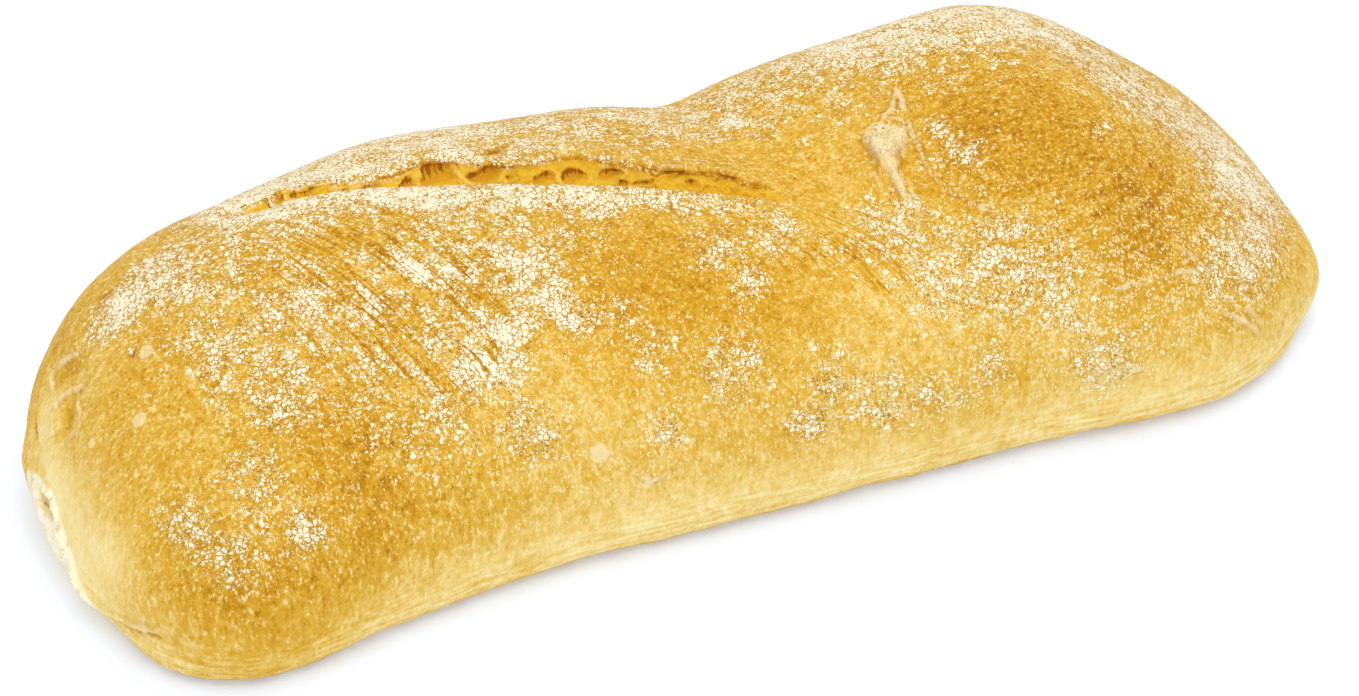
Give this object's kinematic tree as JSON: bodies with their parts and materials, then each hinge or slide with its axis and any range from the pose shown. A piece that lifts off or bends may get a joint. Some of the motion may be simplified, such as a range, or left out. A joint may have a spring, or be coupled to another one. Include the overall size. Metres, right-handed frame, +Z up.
{
  "type": "ciabatta loaf",
  "caption": "Long flat-bottomed ciabatta loaf with a floured, wrinkled crust, a waist between two low domes and a torn split showing crumb along its top.",
  "frame": {"origin": "centre of the loaf's bounding box in plan, at its flat base", "axes": "+X along the loaf towards its pointed end, +Y across it towards the waisted side, +Z up"},
  "size_m": [0.3028, 0.1294, 0.063],
  "materials": {
    "crust": "baked golden crust with a dusting of flour"
  },
  "bodies": {
    "root": {"loaf": "crust"}
  },
  "joints": []
}
